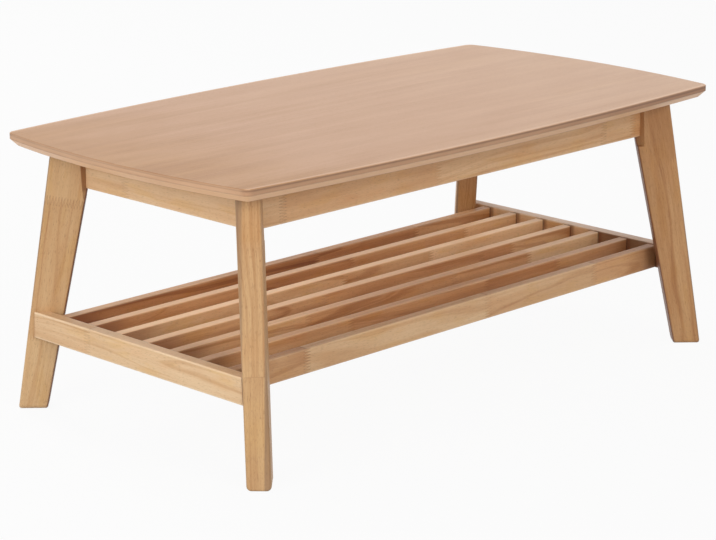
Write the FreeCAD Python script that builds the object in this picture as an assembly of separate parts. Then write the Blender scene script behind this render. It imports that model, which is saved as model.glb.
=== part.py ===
import FreeCAD, Part
import math
import os

# Coffee table: a veneered top with bowed edges, a frame of four aprons, four board legs that
# stand across the corners and lean outwards, and a shelf of slats on edge between two end rails.
# Millimetres, +Z up. The origin is on the floor at the middle of the table, +X runs along its
# length and the front is the long side at -Y.

# Whole table
table_length = 1120.0
table_width = 590.0
table_height = 450.0

# Top: a core board with a face veneer above and a backing veneer below
top_thickness = 21.0
top_side_bow = 23.0  # how far the middle of a long side stands out past its corners
top_end_bow = 26.0  # the same for an end
top_corner_radius = 15.0
top_bevel_height = 11.5  # bevel under the edge, measured up from the underside
top_bevel_inset = 12.5
veneer_thickness = 0.7
top_arris_ease = 0.9

# Legs
leg_turn_deg = 43.5  # direction of the leg's width, from +X
leg_thickness = 37.0
leg_top_width = 68.5
leg_foot_width = 46.0
leg_end_inset = 72.0  # from the table's end to the middle of the leg's outer edge, at the top
leg_side_inset = 73.0
leg_lean_x = 36.5  # how far the outer edge moves outwards from top to floor
leg_lean_y = 57.0
leg_arris_radius = 4.0
foot_edge_radius = 7.5  # the two long edges under the foot
seat_tip_depth = 6.3  # leg left behind the tip of its two apron seats, at the top
seat_run_out = 16.0  # how far the seats go on below the aprons

# Aprons
apron_thickness = 20.0
apron_height = 66.0
apron_arris_radius = 1.5
end_apron_bearing = 13.0  # part of the end apron's thickness that bears on its seat
apron_corner_gap = 1.0  # between the end apron's end and the long apron's inner face

# Corner blocks, behind the joint of two aprons
block_height = 56.0
block_thickness = 28.0
block_gap = 15.0  # from the aprons' inner corner to the block's back

# Hanger bolt from the leg through the corner block, with its washer and nut
bolt_radius = 4.0
bolt_bite = 38.0  # length in the leg
bolt_spare = 4.0  # length past the nut
bolt_chamfer = 0.8
bolt_end_gap = 1.0  # between the bolt's end and the bottom of its hole in the leg
bolt_clearance = 0.5
thread_clearance = 0.05
washer_radius = 11.0
washer_thickness = 1.6
nut_across_flats = 13.0
nut_height = 6.5

# Pan-head screws
screw_radius = 2.0
screw_point = 4.0
screw_head_radius = 3.8
screw_head_height = 2.5
screw_slot_width = 1.0
screw_slot_length = 4.2
screw_slot_depth = 1.4
screw_clearance = 0.1
head_clearance = 0.3
block_screw_length = 25.0
block_screw_bite = 12.0  # length in the apron
block_screw_spread = 14.0  # above and below the hanger bolt
top_screw_length = 35.0
top_screw_bite = 13.0  # length in the top
top_screw_spread = 12.0  # to each side of the hanger bolt

# Shelf
rail_thickness = 20.0
rail_height = 42.5
rail_above_floor = 121.0
rail_setback = 5.6  # outer face behind the leg's outer corner, at the rail's middle
rail_arris_radius = 2.0
rail_mitre_gap = 1.2  # opening of the mitred end at the rail's outer face
slat_count = 7
slat_thickness = 16.5
slat_height = 39.5
slat_drop = 2.0  # slat top below the rail's top
slat_arris_radius = 1.5
slat_leg_gap = 6.6  # between the outermost slat and the leg's inner corner

# Dowels
dowel_radius = 4.0
dowel_chamfer = 1.0
dowel_clearance = 0.1
dowel_end_gap = 1.0
dowel_spread = 10.0  # above and below the middle of a rail or slat
dowel_in_rail = 11.0
dowel_in_slat = 18.0
dowel_in_rail_end = 18.0
dowel_in_leg = 16.0

# How far a cutting shape runs past the surface that it cuts
overrun = 5.0

# Places that follow from the sizes above
leg_height = table_height - top_thickness
leg_top_x = table_length / 2 - leg_end_inset
leg_top_y = table_width / 2 - leg_side_inset
leg_turn = math.radians(leg_turn_deg)
outwards = FreeCAD.Vector(math.cos(leg_turn), math.sin(leg_turn), 0)
sideways = FreeCAD.Vector(-math.sin(leg_turn), math.cos(leg_turn), 0)
up = FreeCAD.Vector(0, 0, 1)
along_x = FreeCAD.Vector(1, 0, 0)
along_y = FreeCAD.Vector(0, 1, 0)

seat_inset = (leg_top_width - seat_tip_depth) / (outwards.x + outwards.y)
seat_x = leg_top_x - seat_inset
seat_y = leg_top_y - seat_inset
apron_bottom = leg_height - apron_height
end_apron_outer_x = seat_x + end_apron_bearing
end_apron_inner_x = end_apron_outer_x - apron_thickness
long_apron_inner_y = seat_y + apron_corner_gap
long_apron_outer_y = long_apron_inner_y + apron_thickness
seat_floor = apron_bottom - seat_run_out

block_bottom = leg_height - block_height
bolt_z = leg_height - block_height / 2
block_front = block_gap + block_thickness

rail_top = rail_above_floor + rail_height
rail_middle = rail_above_floor + rail_height / 2
slat_top = rail_top - slat_drop
slat_middle = slat_top - slat_height / 2
slat_bottom = slat_top - slat_height

CORNERS = (
    ("front_left", -1, -1),
    ("front_right", 1, -1),
    ("back_left", -1, 1),
    ("back_right", 1, 1),
)


# General helpers


def box(low, high):
    size = high - low
    return Part.makeBox(size.x, size.y, size.z, low)


def rod(radius, start, direction, length):
    return Part.makeCylinder(radius, length, start, direction)


def prism(points, height):
    """Upright solid on a closed outline of points."""
    return Part.Face(Part.makePolygon(points + points[:1])).extrude(up * height)


def solid_between(low, high):
    """Flat-faced solid between two outlines that are listed the same way round."""
    outlines = [low, high]
    for i in range(len(low)):
        j = (i + 1) % len(low)
        outlines.append([low[i], low[j], high[j], high[i]])
    faces = [Part.Face(Part.makePolygon(points + points[:1])) for points in outlines]
    shell = Part.makeShell(faces)
    shell.sewShape()
    solid = Part.Solid(shell)
    if solid.Volume < 0:
        solid.reverse()
    return solid


def edges_along(shape, axis):
    """Straight edges that run mostly along one direction."""
    picked = []
    for edge in shape.Edges:
        run = edge.lastVertex().Point - edge.firstVertex().Point
        if abs(run.dot(axis)) > run.Length * math.cos(math.radians(45)):
            picked.append(edge)
    return picked


def edges_below(shape, z):
    """Edges that start below a height."""
    return [edge for edge in shape.Edges if edge.BoundBox.ZMin < z]


def is_among(edge, others):
    return any(edge.isSame(other) for other in others)


def to_corner(shape, side_x, side_y):
    """Copy of a shape made for the back right corner, mirrored to another corner."""
    copy = shape.copy()
    origin = FreeCAD.Vector(0, 0, 0)
    if side_x < 0:
        copy = copy.mirror(origin, along_x)
    if side_y < 0:
        copy = copy.mirror(origin, along_y)
    return copy


def at_all_corners(shapes):
    """Compound of the shapes at the four corners of the table."""
    copies = [to_corner(shape, side_x, side_y) for name, side_x, side_y in CORNERS for shape in shapes]
    return Part.makeCompound(copies)


def turned_to(shape, start, direction):
    """Copy of a shape made along +Z from the origin, moved to a start and a direction."""
    copy = shape.copy()
    copy.Placement = FreeCAD.Placement(start, FreeCAD.Rotation(up, direction))
    return copy


def save(name, shape):
    shape.exportStep(os.path.join("parts", name + ".step"))
    print(name, len(shape.Solids), round(shape.Volume), shape.isValid())


# Leg geometry, for the back right leg


def leg_edge(z):
    """Middle of the leg's outer edge at a height."""
    drop_share = (leg_height - z) / leg_height
    return FreeCAD.Vector(leg_top_x + leg_lean_x * drop_share, leg_top_y + leg_lean_y * drop_share, z)


def leg_corner(z, inner, side):
    """Corner of the leg's section: inner is 0 or 1, side is 1 to the long side and -1 to the end."""
    drop_share = (leg_height - z) / leg_height
    width = leg_top_width + (leg_foot_width - leg_top_width) * drop_share
    return leg_edge(z) - outwards * (width * inner) + sideways * (side * leg_thickness / 2)


def leg_face_y(x, z):
    """Y of the leg's broad face towards the table's end, at an X and a height."""
    corner = leg_corner(z, 0, -1)
    return corner.y + (x - corner.x) * math.tan(leg_turn)


def bolt_start():
    """Where the hanger bolt leaves the leg: the first apron seat that its axis meets."""
    edge = leg_edge(bolt_z)
    reach = min((edge.x - seat_x) / outwards.x, (edge.y - seat_y) / outwards.y)
    return edge - outwards * reach


def apron_corner():
    """Corner where the inner faces of two aprons would meet, at the height of the bolt."""
    return FreeCAD.Vector(end_apron_inner_x, long_apron_inner_y, bolt_z)


def block_face_point(distance):
    """Where the bolt's axis crosses a plane across the corner, that far from the apron corner."""
    start = bolt_start()
    reach = (start - apron_corner()).dot(outwards) + distance
    return start - outwards * reach


# Rail geometry, for the right rail

rail_outer_x = leg_corner(rail_middle, 0, -1).x - rail_setback
rail_inner_x = rail_outer_x - rail_thickness
rail_centre_x = rail_outer_x - rail_thickness / 2
shelf_half_width = leg_corner(slat_top, 1, -1).y - slat_leg_gap
slat_pitch = (2 * shelf_half_width - slat_thickness) / (slat_count - 1)


def slat_y(number):
    """Y of a slat's middle, counted from the front."""
    return slat_thickness / 2 - shelf_half_width + slat_pitch * number


# Top


def top_corner_centre():
    """Centres and radii of the long and end arcs, and the centre of the arc that joins them."""
    half_length = table_length / 2
    half_width = table_width / 2
    side_chord = half_length - top_end_bow
    end_chord = half_width - top_side_bow
    side_radius = (side_chord**2 + top_side_bow**2) / (2 * top_side_bow)
    end_radius = (end_chord**2 + top_end_bow**2) / (2 * top_end_bow)
    side_centre = FreeCAD.Vector(0, half_width - side_radius, 0)
    end_centre = FreeCAD.Vector(half_length - end_radius, 0, 0)
    side_reach = side_radius - top_corner_radius
    end_reach = end_radius - top_corner_radius
    apart = (end_centre - side_centre).Length
    toward_end = (end_centre - side_centre) * (1 / apart)
    square_off = FreeCAD.Vector(-toward_end.y, toward_end.x, 0)
    step = (apart**2 + side_reach**2 - end_reach**2) / (2 * apart)
    height = math.sqrt(side_reach**2 - step**2)
    guesses = [side_centre + toward_end * step + square_off * (height * sign) for sign in (-1, 1)]
    corner_centre = max(guesses, key=lambda point: point.x + point.y)
    return side_centre, side_radius, end_centre, end_radius, corner_centre


def top_outline(inset, z):
    """Closed outline of the top: four bowed sides and four round corners, moved in by an inset."""
    side_centre, side_radius, end_centre, end_radius, corner_centre = top_corner_centre()
    from_side = (corner_centre - side_centre).normalize()
    from_end = (corner_centre - end_centre).normalize()
    side_point = side_centre + from_side * (side_radius - inset)
    end_point = end_centre + from_end * (end_radius - inset)
    bisector = (from_side + from_end).normalize()
    corner_point = corner_centre + bisector * (top_corner_radius - inset)

    def place(point, side_x, side_y):
        return FreeCAD.Vector(point.x * side_x, point.y * side_y, z)

    side_middle = FreeCAD.Vector(0, table_width / 2 - inset, 0)
    end_middle = FreeCAD.Vector(table_length / 2 - inset, 0, 0)
    edges = []
    for side_x, side_y in ((1, 1), (1, -1), (-1, -1), (-1, 1)):
        corner = [place(point, side_x, side_y) for point in (side_point, corner_point, end_point)]
        if side_x * side_y < 0:
            corner.reverse()
        edges.append(Part.Arc(corner[0], corner[1], corner[2]).toShape())
        if side_x * side_y > 0:
            far_end = place(end_point, side_x, -side_y)
            edges.append(Part.Arc(corner[2], place(end_middle, side_x, 0), far_end).toShape())
        else:
            far_side = place(side_point, -side_x, side_y)
            edges.append(Part.Arc(corner[2], place(side_middle, 0, side_y), far_side).toShape())
    return Part.Wire(edges)


def top_bevel_at(z):
    """Inset of the bevel under the top's edge at a height."""
    rise_share = (z - leg_height) / top_bevel_height
    return top_bevel_inset * (1 - rise_share)


def top_screw_points():
    """Where the top screws stand on the underside of the back right corner's block."""
    middle = block_face_point(block_gap + block_thickness / 2)
    middle.z = leg_height + top_screw_bite - top_screw_length
    return [middle + sideways * (top_screw_spread * side) for side in (-1, 1)]


def cut_top_screw_holes(shape):
    for side_name, side_x, side_y in CORNERS:
        for point in top_screw_points():
            depth = top_screw_length + screw_clearance
            hole = rod(screw_radius + screw_clearance, point, up, depth)
            shape = shape.cut(to_corner(hole, side_x, side_y))
    return shape


def top_board():
    under = leg_height + veneer_thickness
    band = leg_height + top_bevel_height
    over = table_height - veneer_thickness
    sections = [top_outline(top_bevel_at(under), under), top_outline(0, band), top_outline(0, over)]
    return cut_top_screw_holes(Part.makeLoft(sections, True, True))


def top_veneer():
    under = table_height - veneer_thickness
    sections = [top_outline(0, under), top_outline(top_arris_ease, table_height)]
    return Part.makeLoft(sections, True, True)


def underside_veneer():
    over = leg_height + veneer_thickness
    sections = [top_outline(top_bevel_inset, leg_height), top_outline(top_bevel_at(over), over)]
    return cut_top_screw_holes(Part.makeLoft(sections, True, True))


# Screws, bolts and dowels


def screw(length):
    """Screw along +Z with the underside of its head at the origin."""
    head = rod(screw_head_radius, up * -screw_head_height, up, screw_head_height)
    rim = [edge for edge in head.Edges if edge.BoundBox.ZMax < -screw_head_height / 2]
    head = head.makeFillet(screw_head_height / 2, rim)
    shank = rod(screw_radius, FreeCAD.Vector(0, 0, 0), up, length - screw_point)
    point = Part.makeCone(screw_radius, 0, screw_point, up * (length - screw_point))
    body = head.fuse(shank).fuse(point).removeSplitter()
    half_length = screw_slot_length / 2
    half_width = screw_slot_width / 2
    floor = -screw_head_height + screw_slot_depth
    for reach_x, reach_y in ((half_length, half_width), (half_width, half_length)):
        low = FreeCAD.Vector(-reach_x, -reach_y, -screw_head_height - overrun)
        body = body.cut(box(low, FreeCAD.Vector(reach_x, reach_y, floor)))
    return body


def dowel(start, direction, length):
    """Dowel with both ends chamfered."""
    pin = rod(dowel_radius, start, direction, length)
    rims = [edge for edge in pin.Edges if isinstance(edge.Curve, Part.Circle)]
    return pin.makeChamfer(dowel_chamfer, rims)


def hanger_bolt():
    start = bolt_start() + outwards * bolt_bite
    end = block_face_point(block_front) - outwards * (washer_thickness + nut_height + bolt_spare)
    bolt = rod(bolt_radius, start, outwards * -1, (end - start).Length)
    rims = [edge for edge in bolt.Edges if isinstance(edge.Curve, Part.Circle)]
    return bolt.makeChamfer(bolt_chamfer, rims)


def bolt_hole(start, length):
    return rod(bolt_radius + bolt_clearance, start, outwards * -1, length)


def bolt_washer():
    start = block_face_point(block_front)
    disc = rod(washer_radius, start, outwards * -1, washer_thickness)
    return disc.cut(bolt_hole(start + outwards * overrun, washer_thickness + 2 * overrun))


def bolt_nut():
    corner_radius = nut_across_flats / math.sqrt(3)
    corners = []
    for number in range(6):
        angle = math.radians(60 * number)
        corners.append(FreeCAD.Vector(corner_radius * math.cos(angle), corner_radius * math.sin(angle), 0))
    hexagon = prism(corners, nut_height)
    bore = rod(bolt_radius + thread_clearance, up * -overrun, up, nut_height + 2 * overrun)
    start = block_face_point(block_front) - outwards * washer_thickness
    return turned_to(hexagon.cut(bore), start, outwards * -1)


def block_screw_seats():
    """Head seat and direction of each screw from a corner block into an apron."""
    corner = apron_corner()
    middle = block_gap + block_thickness / 2
    back_off = block_screw_length - block_screw_bite
    seats = []
    for z in (bolt_z - block_screw_spread, bolt_z + block_screw_spread):
        seats.append((FreeCAD.Vector(corner.x - middle / outwards.x, corner.y - back_off, z), along_y))
        seats.append((FreeCAD.Vector(corner.x - back_off, corner.y - middle / outwards.y, z), along_x))
    return seats


def block_screw_holes():
    return [
        rod(screw_radius + screw_clearance, seat, direction, block_screw_length + screw_clearance)
        for seat, direction in block_screw_seats()
    ]


def slat_dowel_starts():
    """Start of each dowel between a slat and the right rail, in the slat."""
    starts = []
    for number in range(slat_count):
        for z in (slat_middle - dowel_spread, slat_middle + dowel_spread):
            starts.append(FreeCAD.Vector(rail_inner_x - dowel_in_slat, slat_y(number), z))
    return starts


def rail_dowel_starts():
    """Start of each dowel between the right rail's back end and the leg, in the rail."""
    starts = []
    for z in (rail_middle - dowel_spread, rail_middle + dowel_spread):
        end_y = leg_face_y(rail_centre_x, z)
        starts.append(FreeCAD.Vector(rail_centre_x, end_y - dowel_in_rail_end, z))
    return starts


def dowel_hole(start, direction, length):
    """Hole that leaves a little room around a dowel and past both of its ends."""
    hole_start = start - direction * dowel_end_gap
    return rod(dowel_radius + dowel_clearance, hole_start, direction, length + 2 * dowel_end_gap)


def rail_dowel_holes():
    length = dowel_in_rail_end + dowel_in_leg
    return [dowel_hole(start, along_y, length) for start in rail_dowel_starts()]


def slat_dowel_holes():
    length = dowel_in_slat + dowel_in_rail
    return [dowel_hole(start, along_x, length) for start in slat_dowel_starts()]


# Frame


def leg():
    """Back right leg, with its two apron seats, its bolt hole and its dowel holes."""
    order = ((0, 1), (0, -1), (1, -1), (1, 1))
    foot = [leg_corner(0, inner, side) for inner, side in order]
    head = [leg_corner(leg_height, inner, side) for inner, side in order]
    body = solid_between(foot, head)
    foot_edges = [edge for edge in edges_along(body, outwards) if edge.BoundBox.ZMax < leg_height / 2]
    body = body.makeFillet(foot_edge_radius, foot_edges)
    lengthwise = edges_along(body, outwards)
    arrises = [edge for edge in edges_below(body, leg_height / 2) if not is_among(edge, lengthwise)]
    body = body.makeFillet(leg_arris_radius, arrises)
    reach = FreeCAD.Vector(leg_top_width + overrun, leg_top_width + overrun, 0)
    seat_tip = FreeCAD.Vector(seat_x, seat_y, seat_floor)
    for far in (FreeCAD.Vector(0, reach.y, 0), FreeCAD.Vector(reach.x, 0, 0)):
        body = body.cut(box(seat_tip - reach, seat_tip + far + up * (apron_height + seat_run_out + overrun)))
    hole_start = bolt_start() + outwards * (bolt_bite + bolt_end_gap)
    body = body.cut(bolt_hole(hole_start, bolt_bite + leg_top_width))
    for hole in rail_dowel_holes():
        body = body.cut(hole)
    return body


def bolt_passage():
    """Room for the hanger bolt where it passes the ends of two aprons and the corner block."""
    start = bolt_start() + outwards * overrun
    return bolt_hole(start, (start - block_face_point(block_front)).Length + overrun)


def ease_apron(body, axis):
    """Rounds the two lower edges of an apron that runs along an axis."""
    middle_z = leg_height - apron_height / 2
    arrises = [edge for edge in edges_along(body, axis) if edge.BoundBox.ZMax < middle_z]
    return body.makeFillet(apron_arris_radius, arrises)


def long_apron():
    low = FreeCAD.Vector(-seat_x, long_apron_inner_y, apron_bottom)
    body = box(low, FreeCAD.Vector(seat_x, long_apron_outer_y, leg_height))
    body = ease_apron(body, along_x)
    for side_x in (-1, 1):
        for hole in [bolt_passage()] + block_screw_holes():
            body = body.cut(to_corner(hole, side_x, 1))
    return body


def end_apron():
    low = FreeCAD.Vector(end_apron_inner_x, -seat_y, apron_bottom)
    body = box(low, FreeCAD.Vector(end_apron_outer_x, seat_y, leg_height))
    body = ease_apron(body, along_y)
    for side_y in (-1, 1):
        for hole in [bolt_passage()] + block_screw_holes():
            body = body.cut(to_corner(hole, 1, side_y))
    return body


def corner_block():
    """Block across the back right corner, with holes for the bolt and the screws."""
    corner = apron_corner()
    outline = []
    for distance in (block_gap, block_front):
        outline.append(FreeCAD.Vector(corner.x, corner.y - distance / outwards.y, block_bottom))
    for distance in (block_front, block_gap):
        outline.append(FreeCAD.Vector(corner.x - distance / outwards.x, corner.y, block_bottom))
    body = prism(outline, block_height)
    body = body.cut(bolt_passage())
    recess_radius = screw_head_radius + head_clearance
    for seat, direction in block_screw_seats():
        body = body.cut(rod(recess_radius, seat, direction * -1, block_thickness + overrun))
    for hole in block_screw_holes():
        body = body.cut(hole)
    for point in top_screw_points():
        body = body.cut(rod(recess_radius, point, up * -1, point.z - block_bottom + overrun))
        body = body.cut(rod(screw_radius + screw_clearance, point, up, top_screw_length))
    return body


# Shelf


def rail_mitre():
    """Waste beyond the back end of the right rail, which is mitred to the leg's broad face."""
    near_x = rail_inner_x - overrun
    far_x = rail_outer_x + overrun
    far_y = leg_face_y(far_x, rail_above_floor) + overrun
    outlines = []
    for z in (rail_above_floor - overrun, rail_top + overrun):
        ends = []
        for x in (near_x, far_x):
            gap = rail_mitre_gap * (x - rail_inner_x) / rail_thickness
            ends.append(FreeCAD.Vector(x, leg_face_y(x, z) - gap, z))
        outlines.append(ends + [FreeCAD.Vector(far_x, far_y, z), FreeCAD.Vector(near_x, far_y, z)])
    return solid_between(outlines[0], outlines[1])


def shelf_rail():
    """Right rail: a board whose two ends are mitred to the broad faces of the legs."""
    half_length = leg_face_y(rail_outer_x, rail_above_floor)
    low = FreeCAD.Vector(rail_inner_x, -half_length, rail_above_floor)
    body = box(low, FreeCAD.Vector(rail_outer_x, half_length, rail_top))
    body = body.makeFillet(rail_arris_radius, edges_along(body, along_y))
    for hole in slat_dowel_holes():
        body = body.cut(hole)
    for side_y in (-1, 1):
        for waste in [rail_mitre()] + rail_dowel_holes():
            body = body.cut(to_corner(waste, 1, side_y))
    return body


def slat(number):
    middle = slat_y(number)
    low = FreeCAD.Vector(-rail_inner_x, middle - slat_thickness / 2, slat_bottom)
    body = box(low, FreeCAD.Vector(rail_inner_x, middle + slat_thickness / 2, slat_top))
    body = body.makeFillet(slat_arris_radius, edges_along(body, along_x))
    for hole in slat_dowel_holes():
        for side_x in (-1, 1):
            body = body.cut(to_corner(hole, side_x, 1))
    return body


def slat_dowels():
    length = dowel_in_slat + dowel_in_rail
    pins = [dowel(start, along_x, length) for start in slat_dowel_starts()]
    return Part.makeCompound([to_corner(pin, side_x, 1) for pin in pins for side_x in (-1, 1)])


def rail_dowels():
    length = dowel_in_rail_end + dowel_in_leg
    return at_all_corners([dowel(start, along_y, length) for start in rail_dowel_starts()])


# Write every piece

os.makedirs("parts", exist_ok=True)

save("top_board", top_board())
save("top_veneer", top_veneer())
save("underside_veneer", underside_veneer())

back_apron = long_apron()
save("front_apron", to_corner(back_apron, 1, -1))
save("back_apron", back_apron)

right_apron = end_apron()
save("left_end_apron", to_corner(right_apron, -1, 1))
save("right_end_apron", right_apron)

one_leg = leg()
one_block = corner_block()
for corner_name, side_x, side_y in CORNERS:
    save(corner_name + "_leg", to_corner(one_leg, side_x, side_y))
    save(corner_name + "_corner_block", to_corner(one_block, side_x, side_y))

save("hanger_bolts", at_all_corners([hanger_bolt()]))
save("bolt_washers", at_all_corners([bolt_washer()]))
save("bolt_nuts", at_all_corners([bolt_nut()]))

block_screw = screw(block_screw_length)
block_screws = [turned_to(block_screw, seat, direction) for seat, direction in block_screw_seats()]
save("corner_block_screws", at_all_corners(block_screws))

top_screw = screw(top_screw_length)
save("top_screws", at_all_corners([turned_to(top_screw, point, up) for point in top_screw_points()]))

right_rail = shelf_rail()
save("left_shelf_rail", to_corner(right_rail, -1, 1))
save("right_shelf_rail", right_rail)
save("shelf_rail_dowels", rail_dowels())

for slat_number in range(slat_count):
    save("slat_%d" % (slat_number + 1), slat(slat_number))
save("slat_dowels", slat_dowels())
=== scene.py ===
import math

import bpy
from mathutils import Matrix, Vector


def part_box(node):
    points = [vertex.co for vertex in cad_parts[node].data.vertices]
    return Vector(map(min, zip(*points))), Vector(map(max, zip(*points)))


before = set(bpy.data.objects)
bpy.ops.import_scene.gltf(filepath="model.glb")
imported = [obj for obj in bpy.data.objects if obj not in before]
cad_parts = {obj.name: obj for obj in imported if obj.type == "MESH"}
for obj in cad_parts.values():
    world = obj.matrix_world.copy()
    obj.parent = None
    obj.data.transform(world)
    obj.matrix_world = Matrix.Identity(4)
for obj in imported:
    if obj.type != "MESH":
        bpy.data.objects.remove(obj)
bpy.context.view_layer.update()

# A coffee table of finger-jointed rubberwood: veneered top with bowed edges, four splayed board
# legs, four aprons and a slatted shelf. All sizes are metres, in the part's own frame, in which
# the front is at -Y and the left at -X.

ALONG_X = (1, 0, 0)
ALONG_Y = (0, 1, 0)
UP = (0, 0, 1)

# Camera, solved from the photograph: place, aim, roll and focal length
FRAME_WIDTH = 716
SENSOR_WIDTH = 36.0
FOCAL_PIXELS = 2470.07
CAMERA_PLACE = Vector((-2.82200, -2.73461, 1.26500))
CAMERA_AIM = Vector((-0.02140, 0.01460, 0.17749))
CAMERA_ROLL = math.radians(0.04)
CAMERA_REACH = 100.0

# Legs: direction of their width, and how far the outer edge leans out from top to floor
LEG_TURN = math.radians(43.5)
LEG_LEAN = Vector((0.0365, 0.0570))
LEG_THICKNESS = 0.037
LEG_TOP_WIDTH = 0.0685
LEG_FOOT_WIDTH = 0.046
LEG_TOP_EDGE = Vector((0.488, 0.222))

# Seats of the aprons in the legs, and the aprons' heights
SEAT_X = 0.444
SEAT_Y = 0.178
SEAT_FLOOR = 0.347
APRON_BOTTOM = 0.363
APRON_TOP = 0.429

# Shelf rails by the distance of their ends and faces from the middle, and slats from the front on
RAIL_END = 0.2385
RAIL_INNER = 0.49953
RAIL_OUTER = 0.51953
RAIL_BOTTOM = 0.121
RAIL_TOP = 0.1635
FIRST_SLAT = -0.1917
SLAT_PITCH = 0.0639

# Top: heights on its edge, and its outline. A bowed edge falls back by its curve times the square
# of the distance from its middle. Going out from the table's middle line, the edge is that of an
# end as far as the first distance, and a long edge from the second on.
BOARD_TOP = 0.4493
BEVEL_TOP = 0.4405
TOP_HALF_LENGTH = 0.560
TOP_HALF_WIDTH = 0.295
SIDE_CURVE = 0.0805
END_CURVE = 0.348
LONG_EDGE_FROM = 0.255
LONG_EDGE_FULL = 0.268

# Finger joints
FINGER_PITCH = 0.0046
FINGER_LENGTH = 0.015
GLUE_LINE = 0.0011
GLUE_LINE_CORE = GLUE_LINE * 0.4

# Studio light: the room's even glow, and each soft lamp's place, width and power in watts
ROOM_GLOW = 0.45
LAMPS = {
    "left_lamp": ((-3.6, -0.5, 1.5), 2.4, 68),
    "front_lamp": ((-0.8, -4.0, 1.8), 2.4, 65),
    "back_lamp": ((0.4, 3.8, 2.8), 1.8, 80),
}
LAMP_AIM = Vector((0, 0, 0.25))
FLOOR_SIZE = 60.0
FLOOR_PAPER = (0.55, 0.55, 0.55, 1.0)
FLOOR_WHITE = 0.94
WHITE = (1.0, 1.0, 1.0, 1.0)

CORNERS = {
    "front_left": (-1, -1),
    "front_right": (1, -1),
    "back_left": (-1, 1),
    "back_right": (1, 1),
}


def rgb(red, green, blue):
    """Linear colour from a display colour in steps of 0 to 255."""
    shares = [value / 255 for value in (red, green, blue)]
    return [x / 12.92 if x <= 0.04045 else ((x + 0.055) / 1.055) ** 2.4 for x in shares] + [1.0]


# Shader maths


class Number:
    """A number that changes over a surface. Arithmetic on it adds Math nodes."""

    def __init__(self, finish, socket):
        self.finish = finish
        self.socket = socket

    def maths(self, operation, *others):
        return self.finish.node("Math", {"operation": operation}, dict(enumerate((self, *others))))

    def __add__(self, other):
        return self.maths("ADD", other)

    __radd__ = __add__

    def __sub__(self, other):
        return self.maths("SUBTRACT", other)

    def __rsub__(self, other):
        return self.finish.node("Math", {"operation": "SUBTRACT"}, {0: other, 1: self})

    def __mul__(self, other):
        return self.maths("MULTIPLY", other)

    __rmul__ = __mul__

    def __truediv__(self, other):
        return self.maths("DIVIDE", other)

    def __abs__(self):
        return self.maths("ABSOLUTE")

    def __gt__(self, other):
        return self.maths("GREATER_THAN", other)


class Finish:
    """The nodes of one material, or of the room."""

    def __init__(self, owner):
        self.owner = owner
        owner.use_nodes = True
        self.tree = owner.node_tree
        self.tree.nodes.clear()

    def node(self, kind, settings, inputs, output=0):
        """Adds a node, sets it, fills its sockets with values or links, and gives one output."""
        made = self.tree.nodes.new("ShaderNode" + kind)
        for key, value in settings.items():
            if key == "stops":
                ramp = made.color_ramp
                while len(ramp.elements) < len(value):
                    ramp.elements.new(0.5)
                for element, (position, colour) in zip(ramp.elements, value):
                    element.position = position
                    element.color = colour
            else:
                setattr(made, key, value)
        for key, value in inputs.items():
            if isinstance(value, Number):
                self.tree.links.new(value.socket, made.inputs[key])
            else:
                made.inputs[key].default_value = value
        return Number(self, made.outputs[output]) if made.outputs else None

    def point(self):
        return self.node("TexCoord", {}, {}, "Object")

    def along(self, point, direction):
        """Distance of a point along a direction."""
        sockets = {0: point, 1: direction}
        return self.node("VectorMath", {"operation": "DOT_PRODUCT"}, sockets, "Value")

    def axes(self, point):
        """Place of a point along X, Y and Z."""
        return [self.along(point, axis) for axis in (ALONG_X, ALONG_Y, UP)]

    def vector(self, x, y, z):
        return self.node("CombineXYZ", {}, {0: x, 1: y, 2: z})

    def scaled(self, point, scale):
        return self.node("VectorMath", {"operation": "SCALE"}, {0: point, "Scale": scale})

    def noise(self, vector, detail=2.0, roughness=0.5):
        sockets = {"Vector": vector, "Scale": 1.0, "Detail": detail, "Roughness": roughness}
        return self.node("TexNoise", {"noise_dimensions": "3D"}, sockets)

    def ramp(self, value, low, high):
        """0 below low, 1 above high, and smooth between."""
        sockets = {"Value": value, "From Min": low, "From Max": high}
        return self.node("MapRange", {"interpolation_type": "SMOOTHSTEP"}, sockets)

    def near(self, value, place, full, gone):
        """1 as far as full from a place, and 0 from gone on."""
        return 1 - self.ramp(abs(value - place), full, gone)

    def between(self, value, low, high, soft):
        """1 from low to high, and 0 a little way beyond."""
        return self.ramp(value, low - soft, low) * (1 - self.ramp(value, high, high + soft))

    def colours(self, value, stops):
        return self.node("ValToRGB", {"stops": stops}, {0: value})

    def blend(self, share, first, second, mode="MIX"):
        settings = {"data_type": "RGBA", "blend_type": mode, "clamp_factor": True}
        return self.node("Mix", settings, {0: share, 6: first, 7: second}, 2)

    def bump(self, height, distance):
        return self.node("Bump", {}, {"Strength": 1.0, "Distance": distance, "Height": height})

    def surface(self, colour, roughness, normal, **constants):
        sockets = {"Base Color": colour, "Roughness": roughness, "Normal": normal}
        sockets.update(constants)
        shader = self.node("BsdfPrincipled", {}, sockets)
        self.node("OutputMaterial", {}, {"Surface": shader})
        return self.owner


def new_finish(name):
    return Finish(bpy.data.materials.new(name))


def paint(node, material):
    """Gives a carried-over piece its finish."""
    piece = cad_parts[node]
    piece.data.materials.clear()
    piece.data.materials.append(material)


# Wood


class Bar:
    """Directions of a wooden bar's grain, width and thickness, with its middle and half sizes."""

    def __init__(self, middle, along, wide, thick, half_width, half_thickness, taper=0.0):
        self.middle = Vector(middle)
        self.along = Vector(along).normalized()
        self.wide = Vector(wide).normalized()
        self.thick = Vector(thick).normalized()
        self.half_width = half_width
        self.half_thickness = half_thickness
        self.taper = taper


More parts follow.
